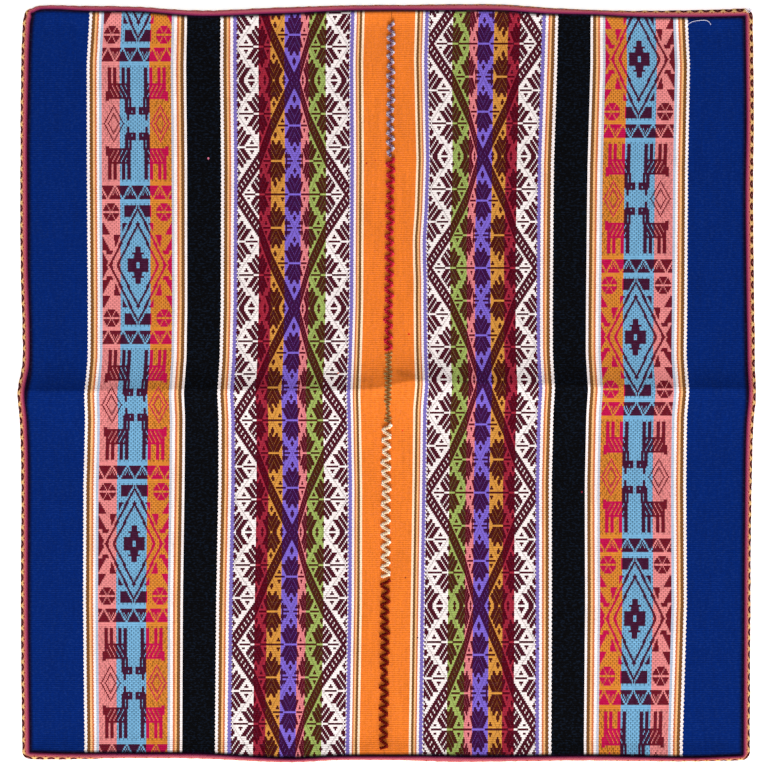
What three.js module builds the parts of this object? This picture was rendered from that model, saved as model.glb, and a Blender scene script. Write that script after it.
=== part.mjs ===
// Andean mesa cloth, laid out flat: two panels of one weaving joined down the middle,
// with a tubular woven edging round the outside. Millimetres, +Y along the warp, +Z up.
import * as THREE from 'three';

// Main sizes
const CLOTH_THICK = 1.5;
const PANEL_WIDE = 308;
const CLOTH_LONG = 636;
const GAP = 0.3;
const JOIN_GAP = 0.3;

// Tubular edging: its half width beyond the cloth edge, the depth of its slot and its thickness
const EDGING_REACH = 4;
const SLOT_DEEP = 3.6;
const EDGING_THICK = 4;
const CORNER_RADIUS = 4;
const LIFT_IN_EDGING = (EDGING_THICK - CLOTH_THICK) / 2;
// The cloth rises from the table into the slot, in section from its edge inwards
const EDGE_RISE = [{ from: 4, up: LIFT_IN_EDGING }, { from: 8, up: 0.7 }, { from: 14, up: 0 }];

// Outer rim of the cloth as it lies: the sides wander a little and bulge at the crease
const LEFT_RIM = [
  { y: -308, x: -309.5 }, { y: -194, x: -311 }, { y: -75, x: -310.3 }, { y: -32, x: -311.4 },
  { y: -12, x: -313.2 }, { y: -2, x: -311.8 }, { y: 14, x: -308.8 }, { y: 44, x: -308.8 },
  { y: 103, x: -311.6 }, { y: 193, x: -311 }, { y: 308, x: -309.6 },
];
const RIGHT_RIM = [
  { y: -308, x: 307.6 }, { y: -224, x: 308.6 }, { y: -134, x: 309.4 }, { y: -75, x: 310.3 },
  { y: -32, x: 311.3 }, { y: -12, x: 313.2 }, { y: 14, x: 312.9 }, { y: 44, x: 312.8 },
  { y: 103, x: 312 }, { y: 163, x: 311.2 }, { y: 223, x: 312 }, { y: 308, x: 311 },
];
const TOP_RIM = [
  { x: -305, y: 319 }, { x: -262, y: 320.5 }, { x: -218, y: 319.8 }, { x: -158, y: 316 },
  { x: -99, y: 318.8 }, { x: -39, y: 320.4 }, { x: 20, y: 320.6 }, { x: 94, y: 322 },
  { x: 139, y: 318.2 }, { x: 199, y: 316.3 }, { x: 258, y: 316.3 }, { x: 305, y: 317.6 },
];
const BOTTOM_RIM = [
  { x: -305, y: -319.4 }, { x: -277, y: -320.3 }, { x: -218, y: -318.8 }, { x: -158, y: -319.4 },
  { x: -84, y: -322 }, { x: -39, y: -320.6 }, { x: 20, y: -320.6 }, { x: 94, y: -321.6 },
  { x: 169, y: -321.2 }, { x: 258, y: -321.9 }, { x: 305, y: -320.4 },
];

// The join between the panels leans a little to the left towards the bottom
const JOIN_LINE = [
  { y: -318, x: -2 }, { y: -228, x: -0.8 }, { y: -83, x: 0.2 }, { y: 2, x: 1.6 },
  { y: 70, x: 2.4 }, { y: 197, x: 4 }, { y: 318, x: 4.4 },
];

// One fold crease runs across the whole cloth. Its crest wanders and its height is uneven.
const CREASE_LINE = [
  { x: -310, y: -2.5 }, { x: -160, y: -3.5 }, { x: -72, y: -4.5 }, { x: -8, y: 0.5 },
  { x: 22, y: 4.5 }, { x: 60, y: 1.5 }, { x: 140, y: 0.5 }, { x: 220, y: -2 }, { x: 310, y: -3 },
];
const CREASE_HEIGHT = [
  { x: -310, up: 3.6 }, { x: -215, up: 4.6 }, { x: -72, up: 4 }, { x: 22, up: 4.8 },
  { x: 140, up: 4.2 }, { x: 255, up: 4.6 }, { x: 310, up: 3.4 },
];
// The crease in section, off the crest: steep below it and a long slope above it
const CREASE_SECTION = [
  { off: -13, share: 0 }, { off: -9, share: 0.14 }, { off: -5, share: 0.42 },
  { off: -2, share: 0.8 }, { off: 0, share: 1 }, { off: 3, share: 0.84 },
  { off: 8, share: 0.6 }, { off: 14, share: 0.36 }, { off: 21, share: 0.15 }, { off: 30, share: 0 },
];

// Tubular edging in section: out from the cloth edge and up from its flat underside
const SLOT_LOW = LIFT_IN_EDGING - GAP;
const SLOT_HIGH = LIFT_IN_EDGING + CLOTH_THICK + GAP;
const EDGING_SECTION = [
  { out: -SLOT_DEEP, up: SLOT_LOW }, { out: -SLOT_DEEP, up: 0.6 }, { out: -1.8, up: 0 },
  { out: 1.6, up: 0 }, { out: 3.3, up: 0.7 }, { out: EDGING_REACH, up: EDGING_THICK / 2 },
  { out: 3.3, up: 3.3 }, { out: 1.6, up: EDGING_THICK }, { out: -1.8, up: EDGING_THICK },
  { out: -SLOT_DEEP, up: 3.4 }, { out: -SLOT_DEEP, up: SLOT_HIGH },
  { out: GAP, up: SLOT_HIGH }, { out: GAP, up: SLOT_LOW },
];

// Joining yarn: a wave of stitches lying across the join, in five colours one after another
const YARN_WIDE = 2;
const YARN_THICK = 1.5;
const YARN_SIDES = 6;
const YARN_SECTIONS = [
  { name: 'sky', from: 306, to: 192, stitches: 13, swing: 2.7, colour: 0x93a2bd },
  { name: 'crimson', from: 190.5, to: 27, stitches: 18, swing: 2.8, colour: 0xb02030 },
  { name: 'olive', from: 25.5, to: -33.5, stitches: 8, swing: 2, colour: 0x6f6138 },
  { name: 'cream', from: -35, to: -165.5, stitches: 15, swing: 3, colour: 0xf0e2c8 },
  { name: 'maroon', from: -167, to: -311, stitches: 16, swing: 2.8, colour: 0x5a1622 },
];

// Where the grid of a panel has its lines, out from the outer edge and up from the bottom edge
const CORNER_STEPS = [0, 1 / 3, 2 / 3].map((share) => share * CORNER_RADIUS);
const EDGE_STEPS = [...CORNER_STEPS, ...EDGE_RISE.map((row) => row.from)];
const FIELD_FROM = EDGE_STEPS[EDGE_STEPS.length - 1];
const FIELD_COLUMNS = 10;
const FIELD_ROWS = 7;
const CREASE_UP = CLOTH_LONG / 2;

// A smooth curve through the rows of a table, read at one place along it
function along(table, key, value, at) {
  const last = table.length - 1;
  const place = THREE.MathUtils.clamp(at, table[0][key], table[last][key]);
  let row = 0;
  while (row < last - 1 && place > table[row + 1][key]) row += 1;
  const slope = (a, b) => (table[b][value] - table[a][value]) / (table[b][key] - table[a][key]);
  const span = table[row + 1][key] - table[row][key];
  const share = (place - table[row][key]) / span;
  const start = slope(Math.max(row - 1, 0), row + 1) * span;
  const end = slope(row, Math.min(row + 2, last)) * span;
  const rise = table[row + 1][value] - table[row][value];
  const bend = start + end - 2 * rise;
  return table[row][value] + share * (start + share * (3 * rise - 2 * start - end + share * bend));
}

// Straight lines through the rows of a table, level beyond its ends
function between(table, key, value, at) {
  const last = table.length - 1;
  if (at <= table[0][key]) return table[0][value];
  if (at >= table[last][key]) return table[last][value];
  const row = table.findIndex((entry) => entry[key] > at) - 1;
  const share = (at - table[row][key]) / (table[row + 1][key] - table[row][key]);
  return THREE.MathUtils.lerp(table[row][value], table[row + 1][value], share);
}

// Height of the crease over the flat cloth
function creaseLift(x, y) {
  const off = y - along(CREASE_LINE, 'x', 'y', x);
  return along(CREASE_HEIGHT, 'x', 'up', x) * between(CREASE_SECTION, 'off', 'share', off);
}

// The cloth's top or bottom edge inside the edging, whichever is nearer
function edgeY(x, y) {
  if (y < 0) return along(BOTTOM_RIM, 'x', 'y', x) + EDGING_REACH;
  return along(TOP_RIM, 'x', 'y', x) - EDGING_REACH;
}

// Grid lines from one edge of the cloth to the other, closer at the edges
function evenly(from, to, count) {
  return Array.from({ length: count - 1 }, (_, i) => THREE.MathUtils.lerp(from, to, (i + 1) / count));
}

function columnLines() {
  return [...EDGE_STEPS, ...evenly(FIELD_FROM, PANEL_WIDE, FIELD_COLUMNS), PANEL_WIDE];
}

function rowLines() {
  const crease = CREASE_SECTION.map((row) => CREASE_UP + row.off);
  const topSteps = EDGE_STEPS.map((step) => CLOTH_LONG - step).reverse();
  return [
    ...EDGE_STEPS,
    ...evenly(FIELD_FROM, crease[0], FIELD_ROWS),
    ...crease,
    ...evenly(crease[crease.length - 1], topSteps[0], FIELD_ROWS),
    ...topSteps,
  ];
}

// A square grid corner drawn in to a round one
function roundCorner(column, row) {
  const low = row < CORNER_RADIUS;
  const high = row > CLOTH_LONG - CORNER_RADIUS;
  if (column >= CORNER_RADIUS || !(low || high)) return { column, row };
  const fromEdge = low ? row : CLOTH_LONG - row;
  const across = 1 - column / CORNER_RADIUS;
  const up = 1 - fromEdge / CORNER_RADIUS;
  const roundColumn = CORNER_RADIUS * (1 - across * Math.sqrt(1 - up * up / 2));
  const roundEdge = CORNER_RADIUS * (1 - up * Math.sqrt(1 - across * across / 2));
  return { column: roundColumn, row: low ? roundEdge : CLOTH_LONG - roundEdge };
}

// A place on a panel's underside, side -1 for the left panel and 1 for the right one
function onPanel(side, squareColumn, squareRow) {
  const { column, row } = roundCorner(squareColumn, squareRow);
  const flatX = side * (PANEL_WIDE - column);
  const flatY = row - CREASE_UP;
  const rim = side < 0 ? LEFT_RIM : RIGHT_RIM;
  const edgeX = along(rim, 'y', 'x', flatY) - side * EDGING_REACH;
  const joinX = along(JOIN_LINE, 'y', 'x', flatY) + side * JOIN_GAP / 2;
  const x = THREE.MathUtils.lerp(edgeX, joinX, column / PANEL_WIDE);
  const creaseY = along(CREASE_LINE, 'x', 'y', flatX);
  const y = THREE.MathUtils.lerp(creaseY, edgeY(flatX, flatY), Math.abs(flatY) / CREASE_UP);
  const fromEdge = Math.min(squareColumn, squareRow, CLOTH_LONG - squareRow);
  return new THREE.Vector3(x, y, between(EDGE_RISE, 'from', 'up', fromEdge) + creaseLift(x, y));
}

// A closed solid from its points and triangles
function solid(name, points, triangles, material) {
  const geometry = new THREE.BufferGeometry();
  const positions = points.flatMap((point) => point.toArray());
  geometry.setAttribute('position', new THREE.Float32BufferAttribute(positions, 3));
  geometry.setIndex(triangles);
  geometry.computeVertexNormals();
  const mesh = new THREE.Mesh(geometry, material);
  mesh.name = name;
  return mesh;
}

function fabric(colour, roughness) {
  return new THREE.MeshStandardMaterial({ color: colour, roughness, metalness: 0 });
}

// One woven panel: its upper and under faces on the grid, and the thin wall round them
function panel(name, side, colour) {
  const columns = columnLines();
  const rows = rowLines();
  const under = rows.flatMap((row) => columns.map((column) => onPanel(side, column, row)));
  const upper = under.map((point) => point.clone().setZ(point.z + CLOTH_THICK));
  const wide = columns.length;
  const count = under.length;
  const triangles = [];
  const quad = (a, b, c, d) => triangles.push(...(side < 0 ? [a, b, c, a, c, d] : [a, c, b, a, d, c]));
  for (let row = 0; row < rows.length - 1; row += 1) {
    for (let column = 0; column < wide - 1; column += 1) {
      const at = row * wide + column;
      quad(count + at, count + at + 1, count + at + wide + 1, count + at + wide);
      quad(at, at + wide, at + wide + 1, at + 1);
    }
  }
  const rim = rimOrder(rows.length, wide);
  rim.forEach((at, i) => {
    const next = rim[(i + 1) % rim.length];
    quad(at, next, count + next, count + at);
  });
  return solid(name, [...under, ...upper], triangles, fabric(colour, 0.9));
}

// The places round a grid, along the first row, up the last column, back and down
function rimOrder(tall, wide) {
  const order = [];
  for (let column = 0; column < wide - 1; column += 1) order.push(column);
  for (let row = 0; row < tall - 1; row += 1) order.push(row * wide + wide - 1);
  for (let column = wide - 1; column > 0; column -= 1) order.push((tall - 1) * wide + column);
  for (let row = tall - 1; row > 0; row -= 1) order.push(row * wide);
  return order;
}

// A tube through rings of points, joined end to start or closed by flat caps
function tube(name, rings, closed, material) {
  const sides = rings[0].length;
  const points = rings.flat();
  const triangles = [];
  const last = closed ? rings.length : rings.length - 1;
  for (let ring = 0; ring < last; ring += 1) {
    const here = ring * sides;
    const there = ((ring + 1) % rings.length) * sides;
    for (let side = 0; side < sides; side += 1) {
      const next = (side + 1) % sides;
      triangles.push(here + side, there + next, here + next, here + side, there + side, there + next);
    }
  }
  if (!closed) {
    const end = (rings.length - 1) * sides;
    for (let side = 1; side < sides - 1; side += 1) {
      triangles.push(0, side, side + 1, end, end + side + 1, end + side);
    }
  }
  return solid(name, points, triangles, material);
}

// The cloth's edge all the way round, seen from above and against the clock
function clothEdge() {
  const columns = columnLines();
  const rows = rowLines();
  const outward = columns.slice(0, -1);
  const inward = [...outward].reverse();
  const middle = (row) => onPanel(-1, PANEL_WIDE, row).lerp(onPanel(1, PANEL_WIDE, row), 0.5);
  return [
    ...outward.map((column) => onPanel(-1, column, 0)),
    middle(0),
    ...inward.map((column) => onPanel(1, column, 0)),
    ...rows.slice(1).map((row) => onPanel(1, 0, row)),
    ...outward.slice(1).map((column) => onPanel(1, column, CLOTH_LONG)),
    middle(CLOTH_LONG),
    ...inward.map((column) => onPanel(-1, column, CLOTH_LONG)),
    ...rows.slice(1, -1).reverse().map((row) => onPanel(-1, 0, row)),
  ];
}

// The tubular edging, one band that wraps the cloth's edge on both faces
function edging() {
  const path = clothEdge();
  const rings = path.map((point, i) => {
    const before = path[(i + path.length - 1) % path.length];
    const after = path[(i + 1) % path.length];
    const into = new THREE.Vector2(point.x - before.x, point.y - before.y).normalize();
    const away = new THREE.Vector2(after.x - point.x, after.y - point.y).normalize();
    const heading = into.clone().add(away).normalize();
    const mitre = 1 / heading.dot(away);
    const lift = creaseLift(point.x, point.y);
    return EDGING_SECTION.map(({ out, up }) => new THREE.Vector3(
      point.x + heading.y * out * mitre,
      point.y - heading.x * out * mitre,
      lift + up,
    ));
  });
  return tube('edging', rings, true, fabric(0xb4566a, 0.85));
}

// The cloth's upper face near the join, read a yarn's width to each side so that the yarn clears it
function joinTop(x, y) {
  const lifts = [-YARN_WIDE, 0, YARN_WIDE].map((off) => {
    const fromEdge = Math.abs(edgeY(x, y) - y - off);
    return creaseLift(x, y + off) + between(EDGE_RISE, 'from', 'up', fromEdge);
  });
  return CLOTH_THICK + Math.max(...lifts);
}

// One colour of joining yarn: a wave that swings across the join once for each stitch
function joinYarn({ name, from, to, stitches, swing, colour }) {
  const stepsPerStitch = 4;
  const steps = stitches * stepsPerStitch;
  const blunt = 0.86;
  const path = Array.from({ length: steps + 1 }, (_, step) => {
    const y = THREE.MathUtils.lerp(from, to, step / steps);
    const phase = ((step + 0.5) / stepsPerStitch) * Math.PI * 2;
    const x = along(JOIN_LINE, 'y', 'x', y) + swing * blunt * Math.SQRT2 * Math.sin(phase);
    return new THREE.Vector3(x, y, joinTop(x, y) + GAP + YARN_THICK / 2);
  });
  const rings = path.map((point, i) => {
    const before = path[Math.max(i - 1, 0)];
    const after = path[Math.min(i + 1, steps)];
    const across = new THREE.Vector3(after.y - before.y, before.x - after.x, 0).normalize();
    return Array.from({ length: YARN_SIDES }, (_, side) => {
      const turn = (side / YARN_SIDES) * Math.PI * 2;
      const place = point.clone().addScaledVector(across, Math.cos(turn) * YARN_WIDE / 2);
      return place.setZ(place.z + Math.sin(turn) * YARN_THICK / 2);
    });
  });
  return tube(`join_yarn_${name}`, rings, false, fabric(colour, 0.8));
}

const cloth = new THREE.Group();
cloth.add(panel('panel_left', -1, 0x5b3a4a));
cloth.add(panel('panel_right', 1, 0x5d3c48));
cloth.add(edging());
YARN_SECTIONS.forEach((section) => cloth.add(joinYarn(section)));

export default cloth;
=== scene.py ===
import math

import bmesh
import bpy
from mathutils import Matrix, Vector, noise


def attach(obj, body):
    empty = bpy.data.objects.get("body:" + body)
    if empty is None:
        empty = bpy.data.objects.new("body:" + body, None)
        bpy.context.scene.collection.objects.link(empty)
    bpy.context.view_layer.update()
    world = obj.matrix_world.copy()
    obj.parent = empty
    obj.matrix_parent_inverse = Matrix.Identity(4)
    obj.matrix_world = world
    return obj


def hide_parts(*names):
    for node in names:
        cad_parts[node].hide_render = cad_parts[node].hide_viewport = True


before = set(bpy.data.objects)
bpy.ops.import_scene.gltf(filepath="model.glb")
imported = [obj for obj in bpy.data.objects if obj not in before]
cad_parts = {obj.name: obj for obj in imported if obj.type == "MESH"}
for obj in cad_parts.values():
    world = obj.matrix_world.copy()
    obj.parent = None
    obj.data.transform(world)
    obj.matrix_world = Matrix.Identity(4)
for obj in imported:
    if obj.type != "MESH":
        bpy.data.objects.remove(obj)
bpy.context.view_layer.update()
scene = bpy.context.scene

# Sizes in millimetres, turned to metres where a mesh is made. +Y is the warp, +Z is up.
MM = 0.001
CLOTH_THICK = 1.5
HALF_LONG = 318
JOIN_GAP = 0.004
SIDE_REACH = 3.4
END_REACH = 3
EDGING_THICK = 4
SLOT_GAP = 0.3
CORNER_RADIUS = 4
LIFT_IN_EDGING = (EDGING_THICK - CLOTH_THICK) / 2
EYE_PITCH = 9.5
# How far in from its edge the cloth is down on the floor, and how uneven it lies from there
FLAT_FROM = 14
UNEVEN = 0.25
UNEVEN_OVER = 20
# How many times narrower the painted shade in the groove beside the edging is at the cloth's ends
END_GROOVE = 1.2

# Outer rim of the edging, each table running along one side of the cloth
LEFT_RIM = [
    (-308, -309.5), (-194, -310.6), (-75, -310.3), (-32, -311.4), (-12, -313.2), (-2, -312.4),
    (14, -309.6), (44, -309.3), (103, -310.9), (193, -311), (270, -310.2), (304, -309.1),
    (312, -307.6),
]
RIGHT_RIM = [
    (-308, 308.6), (-224, 309), (-134, 309.5), (-75, 310.5), (-32, 311.8), (-12, 313.5),
    (14, 313), (44, 312.8), (103, 312), (163, 311.5), (223, 312.1), (308, 311.2),
]
TOP_RIM = [
    (-306, 317.6), (-301, 318.4), (-294, 320.2), (-281, 320.5), (-262, 320), (-218, 319.4),
    (-158, 316), (-99, 318.3), (-39, 320.2), (20, 320.9), (94, 321.2), (139, 318.2), (199, 315.9),
    (258, 316.3), (305, 317.6),
]
BOTTOM_RIM = [
    (-305, -320), (-277, -320.3), (-218, -319.1), (-158, -319.6), (-84, -322.7), (-39, -320.9),
    (20, -321.2), (60, -322.5), (94, -322), (169, -321.2), (258, -322), (305, -321),
]
# How far the edging's lip reaches in over the cloth, along its left, right, top and bottom
LIPS = [
    [(-300, 3.2), (-200, 3), (-100, 2.7), (60, 3), (150, 3.1), (200, 2.6), (300, 3.2)],
    [(-300, 2.2), (-120, 2.1), (-60, 2.7), (60, 3.5), (200, 3.3), (300, 3.2)],
    [(-300, 0.6), (-280, 0.6), (-247, 1.4), (-205, 0.7), (-160, 1.7), (-77, 2.3), (-35, 1.4),
     (8, 1.4), (50, 2.1), (135, 2.1), (178, 1), (220, 2.4), (263, 3.1), (300, 3.4)],
    [(-300, 3.2), (-247, 1.8), (-205, 1), (-160, 1.5), (-77, 0.5), (8, 0.9), (50, 2.1),
     (93, 1.3), (178, 1.3), (263, 0.7), (300, 1.4)],
]
# How far the row of eyes is rolled up over the outside of the tube, along the same sides
ROLLS = [
    [(-300, 1.8), (-20, 1.9), (120, 1.7), (200, 1.3), (300, 1.8)],
    [(-300, 1.5), (-230, 1.5), (-100, 1.5), (-10, 1.9), (60, 2.3), (300, 2.4)],
    [(-300, -0.8), (-100, -0.6), (20, -0.2), (100, 0.2), (170, -0.3), (235, 1.2), (300, 2.4)],
    [(-300, 1.8), (-275, 1.4), (-235, -0.4), (0, -0.8), (230, -0.4), (300, 1.1)],
]
RIMS = {-1: LEFT_RIM, 1: RIGHT_RIM}
# Where the join runs
JOIN_LINE = [(-318, -2), (-228, -0.8), (-83, 0.2), (2, 1.6), (70, 2.4), (197, 4), (318, 4.4)]

# The one fold crease: where its crest runs, how high it is and its section off the crest
CREASE_LINE = [
    (-310, -7), (-280, -7.4), (-160, -6), (-72, -7), (-8, -5), (12, 0), (26, 1.5), (60, -0.5),
    (150, -2), (220, -4.5), (310, -5.5),
]
CREASE_HEIGHT = [
    (-310, 3.6), (-262, 4.2), (-240, 3.2), (-190, 3), (-160, 3.7), (-110, 3.5), (-60, 3.6),
    (-20, 4.3), (15, 4.6), (60, 3.9), (120, 3.6), (155, 4), (190, 3), (245, 2.8), (270, 3.9),
    (310, 3.4),
]
CREASE_SECTION = [
    (-56, 0), (-40, 0.17), (-26, 0.39), (-16, 0.59), (-8, 0.78), (-3, 0.92), (0, 1), (3, 0.78),
    (8, 0.47), (14, 0.22), (21, 0.07), (30, 0),
]
# How high the cloth's underside lies, by distance in from its edge
EDGE_RISE = [(0, LIFT_IN_EDGING), (4, LIFT_IN_EDGING), (8, 0.7), (FLAT_FROM, 0)]

# Stripes lean as the cloth lies. Each row: place along the warp, then where the blue stripe
# ends, where the violet line starts and where the orange middle starts.
LEFT_BORDERS = [
    (-308.5, -256.8, -135.5, -22.9), (-185.3, -258, -134.2, -20.9), (-83.3, -257.7, -132.2, -20.7),
    (-23.8, -256.2, -132.1, -21.7), (-3.4, -256.7, -133.1, -22.2), (27.2, -254.1, -131.3, -21),
    (69.7, -254, -130.3, -19.8), (188.7, -254.8, -129.8, -19.2), (273.7, -254.9, -130.6, -19.7),
    (314.5, -252.4, -130.5, -18.6),
]
RIGHT_BORDERS = [
    (-308.5, 251.8, 129.8, 18.9), (-185.3, 255.4, 130, 20.6), (-83.3, 254.9, 130, 22.1),
    (-23.8, 255.4, 131.4, 22.7), (-3.4, 257.1, 132.5, 24.4), (27.2, 255.2, 130.9, 23.4),
    (69.7, 255.7, 130.8, 23), (84, 255.8, 130.9, 23.2), (100, 255.9, 131, 22.6),
    (120.7, 256, 131.1, 22.3), (148, 256.2, 131.3, 24.2), (188.7, 256.4, 131.7, 25.4),
    (273.7, 258, 134.6, 23.4), (314.5, 256, 135.7, 24.5),
]
BORDERS = {-1: LEFT_BORDERS, 1: RIGHT_BORDERS}
# Where the figured band ends, as a share of the way from the blue stripe to the violet line
BAND_ENDS = {
    -1: [(-308, 0.583), (0, 0.582), (120, 0.58), (308, 0.575)],
    1: [(-308, 0.587), (-120, 0.59), (60, 0.588), (200, 0.582), (308, 0.583)],
}
# Picks counted from a crossing of the big diamonds, by place along the warp
PICKS = {
    -1: [(-317, 348), (-126.2, 232), (63.8, 116), (257.6, 0), (330, -43)],
    1: [(-330, 310), (-188.7, 232), (3.4, 116), (193, 0), (330, -83)],
}

# Wool colours, as red, green and blue out of 255
BLUE = (1, 33, 104)
WHITE = (247, 234, 232)
BROWN = (120, 76, 36)
GOLD = (240, 182, 122)
RUST = (201, 112, 68)
PALE_BLUE = (176, 186, 205)
PALE_GREY = (190, 190, 201)
BLACK = (4, 4, 6)
ORANGE = (232, 120, 40)
VIOLET = (122, 106, 177)
CREAM = (252, 222, 190)
WINE = (72, 16, 28)
# Colour of the painted shade in the groove where the cloth runs in under the edging
GROOVE_SHADE = (84, 10, 84)
# A painted sheen, added to the colour where loose fuzz of the wool catches the light
FUZZ_SHEEN = (0.003, 0.007, 0.016)
ROSE = (226, 134, 132)
SKY = (114, 168, 204)
AMBER = (212, 128, 44)

# Stripes from the outer edge of a panel to the join: colour, colour of the figured warp where
# there is any, warp columns, width in mm at mid length and share by which a stripe's outer
# border is scalloped by the picks.
STRIPES = [
    (BLUE, None, 56, 51.7, 0),
    (WHITE, None, 3, 2.4, 0.3), (BROWN, None, 3, 2.9, 0.2), (GOLD, None, 2, 1.7, 0.15),
    (RUST, None, 2, 1.5, 0.1), (WHITE, None, 3, 2.1, 0.2), (PALE_BLUE, None, 3, 2.3, 0.1),
    (ROSE, (104, 20, 32), 17, 15.3, 0), (SKY, (62, 18, 44), 28, 25.5, 0),
    (AMBER, (184, 12, 70), 21, 18.4, 0),
    (PALE_GREY, None, 3, 2, 0.1), (WHITE, None, 3, 2.4, 0.1), (RUST, None, 2, 1.8, 0.1),
    (GOLD, None, 2, 1.6, 0.1), (BROWN, None, 3, 2.8, 0.1), (WHITE, None, 3, 2.1, 0.1),
    (BLACK, None, 32, 27.9, 0),
    (WHITE, None, 3, 2.4, 0.25), (BROWN, None, 3, 3, 0.2), (GOLD, None, 2, 1.5, 0.15),
    (RUST, None, 2, 1.5, 0.1), (WHITE, None, 3, 2.2, 0.15),
    (VIOLET, None, 3, 2.9, 0.2),
    ((241, 230, 227), WINE, 17, 19.4, 0.05), ((156, 36, 54), (76, 0, 17), 16, 10.4, 0),
    ((208, 142, 60), (72, 17, 10), 15, 12.2, 0), ((122, 98, 200), (56, 10, 58), 17, 13.8, 0),
    ((224, 128, 132), (84, 8, 26), 15, 7.3, 0), ((154, 172, 90), (70, 27, 12), 19, 14.8, 0),
    ((241, 230, 227), WINE, 18, 20.4, 0),
    (VIOLET, None, 3, 3.6, 0.3), (WHITE, None, 3, 2.1, 0.2), (RUST, None, 2, 1.3, 0.1),
    (GOLD, None, 2, 1.4, 0.1), (BROWN, None, 3, 2.1, 0.1), (CREAM, None, 3, 2, 0.1),
    (ORANGE, None, 26, 20.4, 0),
]
# Flecks of other wool caught in the face: place, size and colour
FLECKS = [
    ((-151.3, 190.4), 0.9, (226, 120, 150)), ((-17, 186.2), 0.8, (186, 58, 26)),
    ((-9.4, 188.7), 0.6, (196, 78, 54)), ((16.2, -165.8), 0.8, (150, 70, 36)),
    ((13.6, -40.8), 0.7, (236, 70, 26)), ((128.8, -226.1), 1, (46, 24, 34)),
    ((26.4, -216.8), 0.7, (70, 30, 30)), ((19, 41), 0.9, (206, 52, 22)),
    ((-41, 8), 0.7, (222, 86, 30)), ((166, -93), 0.7, (150, 30, 50)),
]
# Painted crease shadow (the first two) and a smudge: middle, reach along X and Y, how much they
# darken and a turn in degrees
CREASE_SHADE_AND_SMUDGES = [
    ((15.5, 7.5), 12, 4.5, 0.24, -14), ((-20, 3), 16, 3.5, 0.1, 0), ((12, -150), 9, 12, 0.06, 0),
]
BLUE_STRIPE, FIGURE_STRIPE, VIOLET_LINE, DIAMOND_STRIPE, ORANGE_STRIPE = 0, 7, 22, 23, 36
# First warp column of each stripe, and the middle columns of the two bands
STARTS = [sum(stripe[2] for stripe in STRIPES[:i]) for i in range(len(STRIPES) + 1)]
FIGURE_CENTRE = STARTS[FIGURE_STRIPE] + 33
DIAMOND_CENTRE = STARTS[DIAMOND_STRIPE] + 58
# Half a repeat of each band, and how far the figures run ahead, in picks
DIAMOND_HALF = 58
FIGURE_HALF = 72
FIGURE_SHIFT = 50.0
# Share of a column by which dark yarns crowd over light ones, on white and within
# COLOURED_REACH stripes of the wide band's middle
CROWD = 0.13
CROWD_COLOURED = 0.42
CROWD_FIGURES = 0.15
MIDDLE_COLOUR = DIAMOND_STRIPE + 3.0
COLOURED_REACH = 2.5
# How dark the wide band's faint threads are, and the specks in the figured stripes
THREAD_DARK = 0.4
SPECKLED = {FIGURE_STRIPE: 0.36, FIGURE_STRIPE + 1: 0.58, FIGURE_STRIPE + 2: 0.5}


def along(table, at):
    """A smooth curve through the rows of a table, read at one place along it."""
    last = len(table) - 1
    place = min(max(at, table[0][0]), table[last][0])
    row = 0
    while row < last - 1 and place > table[row + 1][0]:
        row += 1

    def slope(a, b):
        return (table[b][1] - table[a][1]) / (table[b][0] - table[a][0])

    span = table[row + 1][0] - table[row][0]
    share = (place - table[row][0]) / span
    start = slope(max(row - 1, 0), row + 1) * span
    end = slope(row, min(row + 2, last)) * span
    rise = table[row + 1][1] - table[row][1]
    bend = start + end - 2 * rise
    return table[row][1] + share * (start + share * (3 * rise - 2 * start - end + share * bend))


def between(table, at):
    """Straight lines through the rows of a table, carried on past its ends."""
    row = 0
    while row < len(table) - 2 and at > table[row + 1][0]:
        row += 1
    share = (at - table[row][0]) / (table[row + 1][0] - table[row][0])
    return table[row][1] + share * (table[row + 1][1] - table[row][1])


def level(table, at):
    """Straight lines through the rows of a table, level past its ends."""
    return between(table, min(max(at, table[0][0]), table[-1][0]))


def crease_lift(x, y):
    return along(CREASE_HEIGHT, x) * level(CREASE_SECTION, y - along(CREASE_LINE, x))


def edge_x(side, y):
    """Where the cloth's own edge lies inside the edging, at a side."""
    return along(RIMS[side], y) - side * SIDE_REACH


def edge_y(x, y):
    """The same at the end that y is nearer to."""
    if y < 0:
        return along(BOTTOM_RIM, x) + END_REACH
    return along(TOP_RIM, x) - END_REACH


def nearest(tables, x, y):
    """Tables for left, right, top and bottom, read at the nearest side and the nearest end."""
    left, right, top, bottom = tables
    return level(left if x < 0 else right, y), level(bottom if y < 0 else top, x)


# Meshes


def put(name, data, place=(0, 0, 0)):
    """An object in the scene, at a place in metres."""
    thing = bpy.data.objects.new(name, data)
    thing.location = place
    scene.collection.objects.link(thing)
    return thing


def solid_from(bm, name, materials):
    mesh = bpy.data.meshes.new(name)
    bm.to_mesh(mesh)
    bm.free()
    for material in materials:
        mesh.materials.append(material)
    return put(name, mesh)


def piece_from(bm, name, materials):
    """A finished piece from its bmesh, riding on the cloth's one body."""
    piece = solid_from(bm, name, materials)
    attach(piece, "root")
    return piece


def shade_smooth(bm, bend):
    """Smooth faces, but sharp along every edge bent by more than this, in radians."""
    for face in bm.faces:
        face.smooth = True
    for edge in bm.edges:
        if len(edge.link_faces) == 2 and edge.calc_face_angle(0) > bend:
            edge.smooth = False


def skin(bm, rings):
    """Closes a strand over rings of points, and gives its faces with their ring and side."""
    sides = len(rings[0])
    faces = []
    for number, (ring, following) in enumerate(zip(rings, rings[1:])):
        for side in range(sides):
            after = (side + 1) % sides
            face = bm.faces.new((ring[side], ring[after], following[after], following[side]))
            face.smooth = True
            faces.append((face, number, side))
    bm.faces.new(rings[0])
    bm.faces.new(rings[-1])
    return faces


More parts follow.
